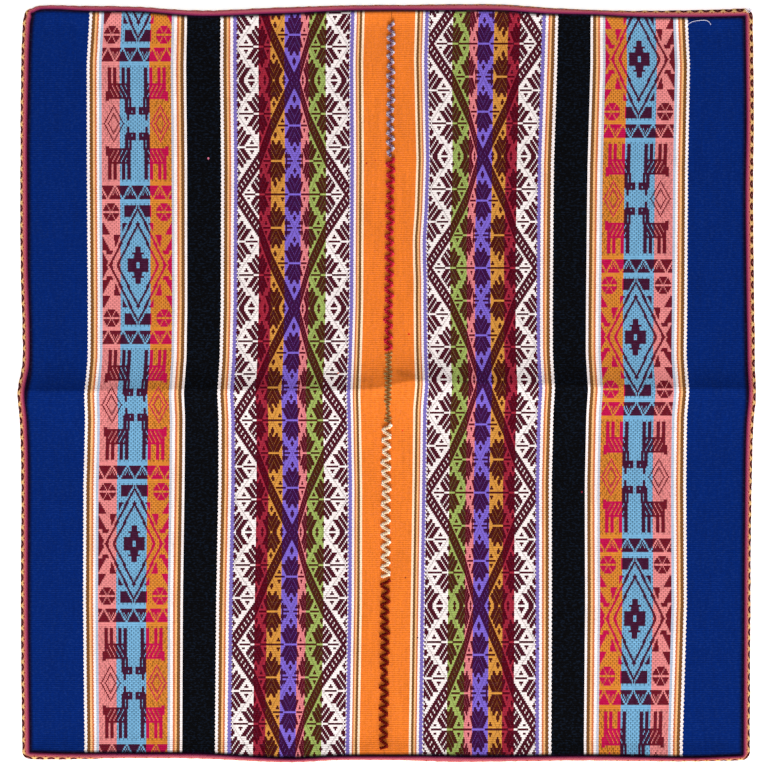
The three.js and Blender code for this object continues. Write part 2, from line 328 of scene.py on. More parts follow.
def sheet_grid(columns, rows):
    """A grid whose points know their column and row."""
    bm = bmesh.new()
    bmesh.ops.create_grid(bm, x_segments=columns - 1, y_segments=rows - 1, size=1)
    column = bm.verts.layers.int.new("column")
    row = bm.verts.layers.int.new("row")
    for vert in bm.verts:
        vert[column] = round((vert.co.x + 1) / 2 * (columns - 1))
        vert[row] = round((vert.co.y + 1) / 2 * (rows - 1))
    return bm, column, row


def stripe_columns():
    """Grid lines across a panel, as stripe numbers with shares of a stripe."""
    widest_part = 7
    lines = []
    for number, stripe in enumerate(STRIPES):
        parts = max(1, round(stripe[3] / widest_part))
        lines += [number + part / parts for part in range(parts)]
    corner = [step / (3 * STRIPES[0][3]) * CORNER_RADIUS for step in (1, 2, 3)]
    return sorted(lines[:1] + corner + lines[1:]) + [len(STRIPES)]


def pick_rows():
    """Grid lines along a panel, in mm from its middle, closer at the ends and the crease."""
    ends = [HALF_LONG - step for step in (0, 1.33, 2.67, 4, 6, 8, 11, 14)]
    crease = [
        -56, -48, -40, -33, -26, -21, -16, -12, -8, -5.5, -3, -1.5, 0, 1.5, 3, 5.5, 8, 11, 14,
        17.5, 21, 25, 30,
    ]
    start, end = crease[0], crease[-1]
    parts = 38
    lower = [-ends[-1] + (ends[-1] + start) * step / parts for step in range(1, parts)]
    upper = [end + (ends[-1] - end) * step / parts for step in range(1, parts)]
    return [-end for end in ends] + lower + crease + upper + ends[::-1]


def across_at(side, stripe_place, y):
    """Where a place among the stripes lies across the cloth, at one place along the warp."""
    blue, violet, orange = (
        level([(row[0], row[which]) for row in BORDERS[side]], y) for which in (1, 2, 3)
    )
    anchors = [
        (BLUE_STRIPE, edge_x(side, y)), (BLUE_STRIPE + 1, blue),
        (FIGURE_STRIPE + 3, blue + (violet - blue) * level(BAND_ENDS[side], y)),
        (VIOLET_LINE, violet), (ORANGE_STRIPE, orange),
        (ORANGE_STRIPE + 1, along(JOIN_LINE, y) + side * JOIN_GAP / 2),
    ]
    run = 0
    while run < len(anchors) - 2 and stripe_place >= anchors[run + 1][0]:
        run += 1
    first, start = anchors[run]
    last, end = anchors[run + 1]
    whole = min(int(stripe_place), len(STRIPES) - 1)
    widths = [stripe[3] for stripe in STRIPES]
    gone = sum(widths[first:whole]) + (stripe_place - whole) * widths[whole]
    return start + (end - start) * gone / sum(widths[first:last])


def on_panel(side, stripe_place, flat_y):
    """A point of a panel's underside in mm, and how far it is clear of the edging's lip."""
    from_side = stripe_place * STRIPES[0][3] if stripe_place < 1 else STRIPES[0][3]
    from_end = HALF_LONG - abs(flat_y)
    inside = min(from_side, from_end)
    if from_side < CORNER_RADIUS and from_end < CORNER_RADIUS:
        across = 1 - from_side / CORNER_RADIUS
        up = 1 - from_end / CORNER_RADIUS
        stripe_place = CORNER_RADIUS * (1 - across * math.sqrt(1 - up * up / 2)) / STRIPES[0][3]
        flat_y = math.copysign(
            HALF_LONG - CORNER_RADIUS * (1 - up * math.sqrt(1 - across * across / 2)), flat_y
        )
    x = across_at(side, stripe_place, flat_y)
    crease = along(CREASE_LINE, x)
    y = crease + (edge_y(x, flat_y) - crease) * abs(flat_y) / HALF_LONG
    soft = UNEVEN * (0.5 + noise.noise((x / 60, y / 45, 3.1)))
    soft *= min(1, max(0, inside - FLAT_FROM) / UNEVEN_OVER)
    z = level(EDGE_RISE, inside) + crease_lift(x, y) + max(0, soft)
    beside, ends = nearest(LIPS, x, flat_y)
    clear = min(from_side - beside, END_GROOVE * (from_end - ends))
    return Vector((x, y, z)), clear


def woven_panel(name, side, top, underside):
    """One panel: its upper face, its underside below it and the thin wall between them.

    Its map Stripe gives stripe and pick, and Warp the warp column and how clear the edging is.
    """
    reach = 314
    margin = 0.005
    columns = stripe_columns()
    rows = pick_rows()
    bm, column, row = sheet_grid(len(columns), len(rows))
    edge_gap = {}
    for vert in bm.verts:
        point, clear = on_panel(side, columns[vert[column]], rows[vert[row]])
        edge_gap[(vert[column], vert[row])] = clear
        vert.co = (point + Vector((0, 0, CLOTH_THICK))) * MM
    copy = bmesh.ops.duplicate(bm, geom=bm.verts[:] + bm.edges[:] + bm.faces[:])["geom"]
    lower = [item for item in copy if isinstance(item, bmesh.types.BMFace)]
    under = [item for item in copy if isinstance(item, bmesh.types.BMVert)]
    bmesh.ops.translate(bm, verts=under, vec=(0, 0, -CLOTH_THICK * MM))
    rim = [edge for edge in bm.edges if edge.is_boundary]
    bmesh.ops.bridge_loops(bm, edges=rim)
    for face in lower:
        face.material_index = 1
    bmesh.ops.recalc_face_normals(bm, faces=bm.faces[:])
    stripe_map = bm.loops.layers.uv.new("Stripe")
    warp_map = bm.loops.layers.uv.new("Warp")
    bake_map = bm.loops.layers.uv.new("OFBake")
    lowest = set(lower)
    for face in bm.faces:
        shift = 0.5 if face in lowest else 0
        for loop in face.loops:
            place = columns[loop.vert[column]]
            flat_y = rows[loop.vert[row]]
            whole = min(int(place), len(STRIPES) - 1)
            warp = STARTS[whole] + (place - whole) * STRIPES[whole][2]
            loop[stripe_map].uv = (place, between(PICKS[side], loop.vert.co.y / MM))
            loop[warp_map].uv = (warp, edge_gap[(loop.vert[column], loop.vert[row])])
            across = abs(loop.vert.co.x / MM) / reach
            loop[bake_map].uv = (
                shift + margin + (0.5 - 2 * margin) * across,
                0.5 + flat_y / HALF_LONG * (0.5 - margin),
            )
    shade_smooth(bm, bend=0.8)
    piece = piece_from(bm, f"woven_{name}", [top, underside])
    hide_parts(name)
    return piece


def cloth_edge():
    """The cloth's edge all the way round, against the clock and 3 mm at a step."""
    step = 3
    points = []
    corners = [(-1, -1), (1, -1), (1, 1), (-1, 1)]
    across = [edge_x(side, end * HALF_LONG) for side, end in corners]
    places = [(x, edge_y(x, end)) for x, (_, end) in zip(across, corners)]
    for i, (side, end) in enumerate(corners):
        x, y = places[i]
        start = math.pi + i * math.pi / 2
        for turn in range(5):
            angle = start + turn / 4 * math.pi / 2
            points.append((
                x - side * CORNER_RADIUS + CORNER_RADIUS * math.cos(angle),
                y - end * CORNER_RADIUS + CORNER_RADIUS * math.sin(angle),
            ))
        next_x, next_y = places[(i + 1) % 4]
        length = math.hypot(next_x - x, next_y - y) - 2 * CORNER_RADIUS
        count = round(length / step)
        for part in range(1, count):
            share = (CORNER_RADIUS + length * part / count) / (length + 2 * CORNER_RADIUS)
            along_x = x + (next_x - x) * share
            along_y = y + (next_y - y) * share
            if i in (0, 2):
                points.append((along_x, edge_y(along_x, end)))
            else:
                points.append((edge_x(side, along_y), along_y))
    return points


def edging_section(reach, lip):
    """The tube in section, upper lip over the outside to lower lip, then the slot.

    Each point goes with its length round the tube from the outermost point.
    """
    around = 20
    tip = 2.62
    bend = 0.85
    inward = abs(math.cos(tip)) ** bend
    wide, tall = (reach + lip) / (1 + inward), EDGING_THICK / 2
    middle = reach - wide
    outline = []
    for step in range(around + 1):
        angle = tip - 2 * tip * step / around
        parts = math.cos(angle), math.sin(angle)
        out, up = (math.copysign(abs(part) ** bend, part) for part in parts)
        outline.append((middle + wide * out, tall + tall * up))
    gone = [0]
    for first, second in zip(outline, outline[1:]):
        gone.append(gone[-1] + math.dist(first, second))
    outline = [(out, up, gone[around // 2] - length) for (out, up), length in zip(outline, gone)]
    low = LIFT_IN_EDGING - SLOT_GAP
    high = LIFT_IN_EDGING + CLOTH_THICK + SLOT_GAP
    return outline, [(SLOT_GAP, low, outline[-1][2]), (SLOT_GAP, high, outline[0][2])]


def woven_edging(material):
    """The tubular edging, one band wrapped over the cloth's edge all the way round."""
    swell, uneven_out, uneven_up = 0.14, 0.35, 0.3
    path = cloth_edge()
    lengths = [0]
    for i, point in enumerate(path):
        after = path[(i + 1) % len(path)]
        lengths.append(lengths[-1] + math.hypot(after[0] - point[0], after[1] - point[1]))
    eyes = round(lengths[-1] / EYE_PITCH)
    stations = []
    for i, (x, y) in enumerate(path):
        before, after = path[i - 1], path[(i + 1) % len(path)]
        into = Vector((x - before[0], y - before[1])).normalized()
        away = Vector((after[0] - x, after[1] - y)).normalized()
        heading = (into + away).normalized()
        beside = heading.y * heading.y
        lip, roll = (
            ends + (side - ends) * beside
            for side, ends in (nearest(LIPS, x, y), nearest(ROLLS, x, y))
        )
        reach = END_REACH + (SIDE_REACH - END_REACH) * beside
        outline, slot = edging_section(reach, lip)
        points = []
        for place, (out, up, round_it) in enumerate(outline + slot):
            to_lip = out + lip
            if place < len(outline):
                ripple = noise.noise((x / 5, y / 5, place / 6))
                bead = math.cos(2 * math.pi * lengths[i] / lengths[-1] * eyes)
                outer = max(0, out) / reach
                out += outer * (swell * bead + uneven_out * ripple)
                up += (up / EDGING_THICK) * uneven_up * ripple
            out /= max(0.7, heading.dot(away))
            spot = Vector((x + heading.y * out, y - heading.x * out, crease_lift(x, y) + up))
            points.append((spot * MM, round_it - roll, to_lip))
        stations.append(points)
    around = len(stations[0])
    bm, column, row = sheet_grid(len(path) + 1, around + 1)
    for vert in bm.verts:
        vert.co = stations[vert[column] % len(path)][vert[row] % around][0]
    tube_map = bm.loops.layers.uv.new("Tube")
    lip_map = bm.loops.layers.uv.new("Lip")
    for face in bm.faces:
        for loop in face.loops:
            share = lengths[loop.vert[column]] / lengths[-1]
            _, off, to_lip = stations[loop.vert[column] % len(path)][loop.vert[row] % around]
            loop[tube_map].uv = (share * eyes, off)
            loop[lip_map].uv = (to_lip, share)
    bmesh.ops.remove_doubles(bm, verts=bm.verts[:], dist=1e-6)
    bmesh.ops.recalc_face_normals(bm, faces=bm.faces[:])
    shade_smooth(bm, bend=0.9)
    piece = piece_from(bm, "tube_edging", [material])
    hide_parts("edging")
    return piece


# Joining yarn: name, its darker wool, which stands for painted shade in the twist and at the join,
# and its lighter wool, first and last place along the join, stitches, swing, thickness and how far
# it stands off the join to the side
YARNS = [
    ("sky", (110, 70, 100), (216, 208, 222), 306, 192, 14, 2.3, 3, -0.8),
    ("crimson", (146, 2, 24), (222, 52, 78), 190.5, 27, 18.5, 2.7, 3.1, -0.4),
    ("olive", (128, 94, 48), (214, 172, 112), 25.5, -33.5, 15, 2.6, 1.3, 0),
    ("cream", (222, 186, 146), (255, 248, 230), -35, -165.5, 14.5, 2.8, 3.3, -0.6),
    ("maroon", (88, 4, 0), (142, 30, 14), -167, -311, 16.5, 3, 2.9, -0.8),
]
# Plies of a yarn, their share of its thickness, mm to a turn of the twist, steps to a stitch,
# points round a ply and how far the pull of the yarn leans its turns
PLIES = 2
PLY = 0.3
TWIST = 3.6
STITCH_STEPS = 26
PLY_SIDES = 8
PULL = 0.35
# Yarns thinner than this are sewn less evenly
THIN_YARN = 2
# How far the yarn is clear of the cloth
YARN_CLEAR = 0.15


def join_top(x, y):
    """The cloth's upper side under a yarn, at its highest nearby."""
    lifts = []
    for off in (-2, -1, 0, 1, 2):
        from_edge = abs(edge_y(x, y) - y - off)
        lifts.append(crease_lift(x, y + off) + level(EDGE_RISE, from_edge))
    return CLOTH_THICK + max(lifts)


def joining_yarn(name, material, first, last, stitches, swing, thick, off):
    """One colour of yarn: plies twisted together, swinging across the join at each stitch."""
    steps = round(stitches * STITCH_STEPS)
    ply = thick * PLY
    uneven = 0.8 if thick < THIN_YARN else 0.3
    path = []
    for step in range(steps + 1):
        y = first + (last - first) * step / steps
        turn = 2 * math.pi * (stitches * step / steps + 0.125)
        turn += 0.5 * noise.noise((y / 9, thick, 2.2))
        phase = turn - PULL * math.sin(turn)
        wander = 0.7 * noise.noise((y / 8, swing, 7.7))
        reach = swing * (1 + uneven * noise.noise((y / 7, 4.4, swing)))
        swung = reach * (math.sin(phase) + 0.05 * math.sin(3 * phase))
        x = along(JOIN_LINE, y) + off + swung
        height = join_top(x, y) + YARN_CLEAR + thick * 0.44
        path.append((Vector((x + wander, y - 0.4 * wander, height)), abs(math.sin(phase))))
    bm = bmesh.new()
    ply_map = bm.loops.layers.uv.new("Ply")
    lobe_map = bm.loops.layers.uv.new("Lobe")
    for strand in range(PLIES):
        travelled = 0
        rings = []
        marks = []
        for i, (point, lobe) in enumerate(path):
            before, after = path[max(i - 1, 0)][0], path[min(i + 1, steps)][0]
            heading = (after - before).normalized()
            across = Vector((heading.y, -heading.x, 0)).normalized()
            up = across.cross(heading)
            travelled += (point - before).length
            turn = 2 * math.pi * (travelled / TWIST + strand / PLIES)
            centre = point + across * math.cos(turn) * ply * 0.85 + up * math.sin(turn) * ply * 0.6
            ring = []
            for side in range(PLY_SIDES):
                angle = 2 * math.pi * side / PLY_SIDES
                spot = centre + across * math.cos(angle) * ply + up * math.sin(angle) * ply * 0.9
                ring.append(bm.verts.new(spot * MM))
            rings.append(ring)
            marks.append((travelled, lobe))
        for face, number, side in skin(bm, rings):
            here, there = marks[number], marks[number + 1]
            corners = [(here, side), (here, side + 1), (there, side + 1), (there, side)]
            for loop, ((length, lobe), part) in zip(face.loops, corners):
                loop[ply_map].uv = (length, part / PLY_SIDES)
                loop[lobe_map].uv = (lobe, strand)
    bmesh.ops.recalc_face_normals(bm, faces=bm.faces[:])
    piece = piece_from(bm, f"stitches_{name}", [material])
    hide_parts(f"join_yarn_{name}")
    return piece


# Loose yarn: an end that lies over the blue, as y by x, and fibres at the corner, each as
# start, middle and end
LOOSE_END = [(255.9, 304.3), (261, 306.7), (270.3, 307.6), (273.7, 306.4), (275.4, 303.9)]
CORNER_FIBRES = [
    ((305, 315.2), (306.8, 317.2), (309, 316.8)), ((306, 314), (308, 316), (308.4, 318)),
    ((304.4, 316.4), (307, 317.8), (308.6, 315.6)), ((307.4, 313.6), (309.2, 315), (310, 317)),
    ((305.6, 317), (307.6, 316), (309.6, 315.4)),
]
FIBRE_THICK = 0.42
FIBRE_SIDES = 6
FIBRE_RISE = 0.8


def loose_yarn(material):
    """The fine loose end on the cloth, and the little tuft on top of the edging."""
    first, last = LOOSE_END[0][0], LOOSE_END[-1][0]
    steps, tuft_steps = 24, 8
    on_cloth = CLOTH_THICK + LIFT_IN_EDGING + FIBRE_THICK / 2
    on_edging = EDGING_THICK + FIBRE_THICK / 2
    places = [first + (last - first) * step / steps for step in range(steps + 1)]
    strands = [[(x, along(LOOSE_END, x), on_cloth) for x in places]]
    for points in CORNER_FIBRES:
        strand = []
        for step in range(tuft_steps + 1):
            share = step / tuft_steps
            weights = ((1 - share) ** 2, 2 * share * (1 - share), share ** 2)
            x, y = (sum(w * p[i] for w, p in zip(weights, points)) for i in (0, 1))
            strand.append((x, y, on_edging + FIBRE_RISE * math.sin(math.pi * share)))
        strands.append(strand)
    bm = bmesh.new()
    for strand in strands:
        rings = []
        for i, place in enumerate(strand):
            before, after = strand[max(i - 1, 0)], strand[min(i + 1, len(strand) - 1)]
            across = Vector((after[1] - before[1], before[0] - after[0], 0)).normalized()
            ring = []
            for side in range(FIBRE_SIDES):
                angle = 2 * math.pi * side / FIBRE_SIDES
                swing = across * math.cos(angle) + Vector((0, 0, math.sin(angle)))
                ring.append(bm.verts.new((Vector(place) + swing * FIBRE_THICK / 2) * MM))
            rings.append(ring)
        skin(bm, rings)
    bmesh.ops.recalc_face_normals(bm, faces=bm.faces[:])
    return piece_from(bm, "loose_yarn", [material])


# Weaver's charts. A chart is a quarter of a repeat, mirrored about both its middles. Each of
# its rows is kept as NUMBERS numbers, with CELLS cells in each as binary digits.
CELLS = 24
NUMBERS = 3


class Chart:
    """Cells of a figured band, each one warp column wide and one pick long."""

    def __init__(self, columns, rows):
        self.dark = [[False] * columns for _ in range(rows)]

    def paint(self, dark, where):
        for r, cells in enumerate(self.dark):
            for k in range(len(cells)):
                if where(k, r):
                    cells[k] = dark

    def motif(self, column, row, where):
        """Dark cells, given by how far across and along they are from the motif's middle."""
        self.paint(True, lambda k, r: where(abs(k - column), abs(r - row)))

    def star(self, column, row, closed=False):
        """An eight-petalled star: split upright petals and thick slanting side petals."""
        self.motif(column, row, lambda a, b: (
            (1 <= b - a <= 7 and b - a != 4 or b == 8 and a == 0) and a + b <= 14
            or 1 <= a - b <= 4 and 1 <= b <= 6 or closed and b == 0 and 2 <= a <= 5
        ))

    def dot(self, column, row):
        self.motif(column, row, lambda a, b: a + b <= 1.5)

    def lozenge(self, column, row, reach):
        """The dashed line and two peaks that stand in the light lozenge between two stars."""
        self.motif(column, row, lambda a, b: b == 0 and a <= reach or 2 <= b <= 3 and a <= 3 - b)

    def codes(self):
        """Each row's numbers, from 0 to 1."""
        rows = []
        for cells in self.dark:
            code = [0.0] * NUMBERS
            for k, dark in enumerate(cells):
                if dark:
                    code[k // CELLS] += 2.0 ** -(k % CELLS + 1)
            rows.append(tuple(code))
        return rows


def diamond_chart():
    """The wide band: stars, lozenges and thin lines about the big dashed diamonds."""
    chart = Chart(59, DIAMOND_HALF + 1)
    paint = chart.paint
    for column, row in [(0, 23), (0, 58), (20, 41), (39, 58), (40, 17), (58, 34)]:
        chart.star(column, row)
    for column in (22, 58):
        chart.star(column, 0, closed=True)
    for column, row, reach in [
        (13, 58, 5), (27, 58, 6), (50, 58, 5), (6, 41, 3), (32, 41, 5), (13, 23, 5),
        (29, 17, 5), (51, 17, 5), (47, 34, 4),
    ]:
        chart.lozenge(column, row, reach)
    paint(True, lambda k, r: r == 58 and 17 < k < 23)
    paint(True, lambda k, r: abs(k - 47) <= 3 - r and r > 0)
    spots = [
        (0, 9.5), (0, 35), (0, 46), (22, 12), (21, 27.5), (21, 52.5), (40, 4), (40, 29.5),
        (39, 45.5), (57, 12.5), (57, 22), (57, 47), (11, 1), (33, 1), (9, 38.5), (9, 43.5),
    ]
    for column, row in spots:
        chart.dot(column, row)
    paint(False, lambda k, r: -5 <= k - r <= 7)
    paint(True, lambda k, r: -3 <= k - r <= 5)
    paint(False, lambda k, r: k - r == 0 and r % 2 == 0 or k - r == 2 and r % 2 == 1)
    paint(True, lambda k, r: k == 58 and r % 2 == 1)
    return chart


def thread_chart():
    """The wide band's thin faint lines, which join the stars."""
    chart = Chart(59, DIAMOND_HALF + 1)
    for first, last, lean, start in [
        (41, 58, 1, -37), (24, 40, -1, 44), (41, 57, -1, 79), (0, 17, -1, 40), (0, 16, 1, 41),
        (18, 34, -1, 75), (31, 40, -1, 40), (41, 50, 1, -41),
    ]:
        for row in range(first, last + 1):
            chart.dark[row][start + lean * row] = True
    return chart


def figure_chart():
    """The narrower band: lozenge with a stepped cross, wheels, triangles and paired llamas."""
    chart = Chart(36, FIGURE_HALF + 1)
    paint = chart.paint

    def from_middle(k, r):
        return k / 27 + r / 30

    for outer in (1, 0.74):
        paint(True, lambda k, r: outer - 0.08 < from_middle(k, r) <= outer)
    paint(True, lambda k, r: 24 < r < 31 and k < 13 and from_middle(k, r) > 1.07)
    paint(True, lambda k, r: from_middle(k, r) > 1.1 and r < 22 and k > 26 + r % 8)
    paint(True, lambda k, r: 5 < r < 22 and 0 < k - 27 * (1.1 - r / 30) < r % 8 - 1)
    paint(True, lambda k, r: k <= 2 and r <= 9 or k <= 5 and r <= 6 or k <= 9 and r <= 3)
    paint(False, lambda k, r: k <= 1 and r <= 1 or 3 < k < 6 and 3 < r < 6)
    paint(True, lambda k, r: ((k - 25) / 7.6) ** 2 + ((r - 27) / 4.4) ** 2 <= 1)
    paint(False, lambda k, r: r == 27 and k > 16)
    paint(False, lambda k, r: 22 < r < 32 and abs(abs(k - 25) - 1.1 * abs(r - 27)) < 0.6)
    paint(True, lambda k, r: 34 <= r <= 40)
    paint(False, lambda k, r: 34 <= r <= 40 and 0 <= abs(k % 14 - 7) - (40 - r) <= 1)
    paint(False, lambda k, r: 36 <= r <= 38 and abs(k % 14 - 7) == 38 - r)
    llama = [
        (7, 9, 44, 52), (12, 14, 44, 51), (20, 22, 44, 51), (25, 27, 44, 52), (7, 27, 52, 59),
        (6, 11, 59, 66), (2, 10, 64, 67), (8, 9, 68, 70), (27, 29, 56, 60),
    ]
    for left, right, low, high in llama:
        paint(True, lambda k, r: left <= k <= right and low <= r <= high)
    paint(False, lambda k, r: 9 < k < 26 and 52 < r < 59 and (k + r) % 4 == 0)
    paint(False, lambda k, r: k == 8 and 59 < r < 64 or k == 5 and r == 66)
    paint(True, lambda k, r: 13 <= k <= 32 and 63 <= r and abs(k - 22) + (72 - r) in (5, 9))
    return chart


def speckle_chart():
    """Faint specks of the hidden warp through the narrower band, in slanting rows."""
    chart = Chart(36, FIGURE_HALF + 1)
    chart.paint(True, lambda k, r: (k + 2 * r) % 4 == 0)
    chart.paint(True, lambda k, r: r > 42 and k > 15 and (k + r) % 5 == 0)
    chart.paint(False, lambda k, r: 31 < r < 34 or 40 < r < 43)
    return chart


# Materials


def tint(colour):
    """A wool colour as scene light."""
    parts = [part / 255 for part in colour]
    return tuple(c / 12.92 if c <= 0.04045 else ((c + 0.055) / 1.055) ** 2.4 for c in parts)


class Cloth:
    """A node material under way, with short calls for its sums."""

    def __init__(self, name):
        self.material = bpy.data.materials.new(name)
        self.material.use_nodes = True
        self.tree = self.material.node_tree
        self.shader = self.tree.nodes["Principled BSDF"]

    def feed(self, socket, value):
        if isinstance(value, bpy.types.NodeSocket):
            self.tree.links.new(value, socket)
        elif value is not None:
            socket.default_value = (*value, 1) if socket.type == "RGBA" else value

    def node(self, kind, *values, **settings):
        """The outputs of a new node, set up, and with its inputs fed in turn."""
        node = self.tree.nodes.new(f"ShaderNode{kind}")
        for name, setting in settings.items():
            setattr(node, name, setting)
        for socket, value in zip(node.inputs, values):
            self.feed(socket, value)
        return node.outputs

    def sum(self, operation, *values, clamp=False):
        return self.node("Math", *values, operation=operation, use_clamp=clamp)[0]

    def line(self, value, slope, start, clamp=False):
        return self.sum("MULTIPLY_ADD", value, slope, start, clamp=clamp)

    def by(self, value, factor):
        return self.sum("MULTIPLY", value, factor)

    def vector_sum(self, operation, *values):
        outputs = self.node("VectorMath", *values, operation=operation)
        return outputs["Value" if operation in ("DISTANCE", "LENGTH") else "Vector"]

    def split(self, vector):
        return self.node("SeparateXYZ", vector)

    def place(self, uv_map):
        return self.split(self.node("UVMap", uv_map=uv_map)[0])[:2]

    def point(self, x, y, z=0.0):
        return self.node("CombineXYZ", x, y, z)[0]

    def times(self, colour, share):
        return self.vector_sum("MULTIPLY", colour, self.point(share, share, share))

    def ridges(self, value):
        """Round ridges, one to each whole step of the value."""
        return self.sum("ABSOLUTE", self.sum("SINE", self.by(value, math.pi)))

    def blend(self, share, first, second):
        other_kinds = [None] * 5
        return self.node("Mix", share, *other_kinds, first, second, data_type="RGBA")[2]

    def cloud(self, where, size, detail=2.0):
        return self.node("TexNoise", where, None, size, detail)[0]

    def chance(self, where):
        return self.node("TexWhiteNoise", where, noise_dimensions="3D")[0]

    def shelf(self, number, rows):
        """Looks up a whole number in a list of colours, 32 to a ramp."""
        total = None
        most = 32
        for first in range(0, len(rows), most):
            some = rows[first:first + most]
            ramp = self.tree.nodes.new("ShaderNodeValToRGB")
            ramp.color_ramp.interpolation = "CONSTANT"
            stops = ramp.color_ramp.elements
            for i, row in enumerate(some):
                stop = stops[i] if i < 2 else stops.new(i / most)
                stop.position = i / most
                stop.color = (*row, 1)
            inside = self.sum("DIVIDE", self.sum("ADD", number, 0.5 - first), most)
            self.feed(ramp.inputs[0], inside)
            low = self.sum("GREATER_THAN", number, first - 0.5)
            high = self.sum("LESS_THAN", number, first + most - 0.5)
            part = self.times(ramp.outputs[0], self.by(low, high))
            total = part if total is None else self.vector_sum("ADD", total, part)
        return total

    def charted(self, chart, warp, centre, row, crowd=None):
        """1 where the chart is dark, its dark yarns crowding a little over their neighbours."""
        numbers = self.split(self.shelf(row, chart.codes()))
        dark = None
        for shift in (0,) if crowd is None else (-1, 0, 1):
            moved = warp if crowd is None else self.line(crowd, shift, warp)
            column = self.sum("FLOOR", moved)
            column = self.sum("ABSOLUTE", self.sum("SUBTRACT", column, centre))
            group = self.sum("FLOOR", self.sum("DIVIDE", self.sum("ADD", column, 0.5), CELLS))
            code = 0
            for which in range(NUMBERS):
                here = self.sum("COMPARE", group, which, 0.4)
                code = self.line(numbers[which], here, code)
            digit = self.sum("SUBTRACT", column, self.by(group, CELLS))
            power = self.sum("POWER", 2, self.sum("ADD", digit, 1))
            cell = self.sum("MODULO", self.sum("FLOOR", self.by(code, power)), 2)
            dark = cell if dark is None else self.sum("MAXIMUM", dark, cell)
        return dark

    def mirrored(self, pick, half):
        """A pick counted to and fro between 0 and half, and kept above 0 by whole repeats."""
        above = 40 * half
        row = self.sum("FLOOR", pick)
        return self.sum("PINGPONG", self.sum("ADD", row, above), half)

    def ease(self, value, low, high, bottom=0.0, top=1.0):
        """Rises smoothly from bottom to top as the value goes from low to high."""
        limits = low, high, bottom, top
        return self.node("MapRange", value, *limits, interpolation_type="SMOOTHSTEP")[0]

    def relief(self, height, depth):
        self.feed(self.shader.inputs["Normal"], self.node("Bump", 0.9, depth, None, height)[0])

    def finish(self, colour, roughness, sheen):
        for name, value in (
            ("Base Color", colour), ("Roughness", roughness), ("Specular IOR Level", 0.04),
            ("Sheen Weight", sheen), ("Sheen Roughness", 0.5),
        ):
            self.feed(self.shader.inputs[name], value)
        return self.material


def figured_stripes(wool, stripe, pick, warp, reverse):
    """The stripes with their scalloped borders and the two figured bands."""
    scallops = wool.shelf(wool.sum("FLOOR", stripe), [(row[4],) * 3 for row in STRIPES])
    wave = wool.sum("COSINE", wool.by(pick, math.pi))
    wave = wool.line(wave, 0.5, 0.5)
    moved = wool.sum("SUBTRACT", stripe, wool.by(wool.split(scallops)[0], wave))
    number = wool.sum("MAXIMUM", wool.sum("FLOOR", moved), 0)
    plain = wool.shelf(number, [tint(row[0]) for row in STRIPES])
    figured = wool.shelf(number, [tint(row[1] or row[0]) for row in STRIPES])

    row = wool.mirrored(pick, DIAMOND_HALF)
    crowd = wool.sum("COMPARE", number, MIDDLE_COLOUR, COLOURED_REACH)
    crowd = wool.line(crowd, CROWD_COLOURED - CROWD, CROWD)
    diamonds = wool.charted(diamond_chart(), warp, DIAMOND_CENTRE, row, crowd)
    threads = wool.charted(thread_chart(), warp, DIAMOND_CENTRE, row)
    diamonds = wool.sum("MAXIMUM", diamonds, wool.by(threads, THREAD_DARK))
    row = wool.mirrored(wool.sum("ADD", pick, FIGURE_SHIFT), FIGURE_HALF)
    figures = wool.charted(figure_chart(), warp, FIGURE_CENTRE, row, CROWD_FIGURES)
    inner = wool.sum("GREATER_THAN", number, DIAMOND_STRIPE - 0.5)
    dark = wool.by(diamonds, inner)
    dark = wool.line(figures, wool.sum("SUBTRACT", 1, inner), dark)
    if reverse:
        dark = wool.sum("SUBTRACT", 1, dark)
    speckles = wool.charted(speckle_chart(), warp, FIGURE_CENTRE, row)
    speckled = wool.shelf(number, [(SPECKLED.get(i, 0),) * 3 for i in range(len(STRIPES))])
    speckled = wool.vector_sum("SUBTRACT", (1, 1, 1), wool.times(speckled, speckles))
    return wool.blend(dark, wool.vector_sum("MULTIPLY", plain, speckled), figured)


def flecks_and_shade(wool, colour):
    """Flecks, a smudge and painted crease shadow on the face, each at its own place on the cloth.
    """
    spot = wool.vector_sum("MULTIPLY", wool.node("TexCoord")["Object"], (1, 1, 0))
    for (x, y), size, caught in FLECKS:
        off = wool.vector_sum("DISTANCE", spot, (x * MM, y * MM, 0))
        colour = wool.blend(wool.sum("LESS_THAN", off, size * MM), colour, tint(caught))
    # Darker patches: painted shadow beside the crease, and one smudge
    for (x, y), wide, long, strength, turn in CREASE_SHADE_AND_SMUDGES:
        laid = (x * MM, y * MM, 0), (0, 0, math.radians(turn)), (wide * MM, long * MM, 1)
        off = wool.vector_sum("LENGTH", wool.node("Mapping", spot, *laid, vector_type="TEXTURE")[0])
        ragged = wool.line(wool.cloud(spot, 220), 0.7, off)
        colour = wool.times(colour, wool.ease(ragged, 0.5, 1.5, bottom=1 - strength))
    return colour


